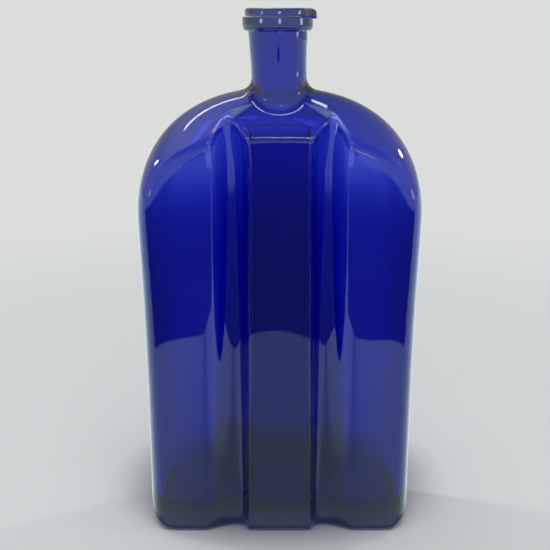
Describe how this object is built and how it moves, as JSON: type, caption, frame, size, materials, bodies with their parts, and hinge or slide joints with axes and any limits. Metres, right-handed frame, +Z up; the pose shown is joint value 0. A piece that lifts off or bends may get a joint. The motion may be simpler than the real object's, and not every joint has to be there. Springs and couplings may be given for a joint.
{
  "type": "flat fluted glass bottle",
  "caption": "Tall flat cobalt-blue glass bottle with an arched shoulder, upright flutes with pointed tops, a short neck and a double-ring lip, open and empty.",
  "frame": {"origin": "centre of the resting plane under the base, on the neck's axis", "axes": "+Z up along the neck, the fluted front faces -Y, +X to the right across the wide front"},
  "size_m": [0.145, 0.052, 0.27],
  "materials": {
    "body_glass": "polished cobalt-blue blown glass",
    "collar_glass": "fire-polished cobalt-blue glass, slightly tooled",
    "rim_glass": "fire-polished cobalt-blue glass, slightly tooled"
  },
  "bodies": {
    "root": {"bottle_body": "body_glass", "lip_collar": "collar_glass", "lip_rim": "rim_glass"}
  },
  "joints": []
}
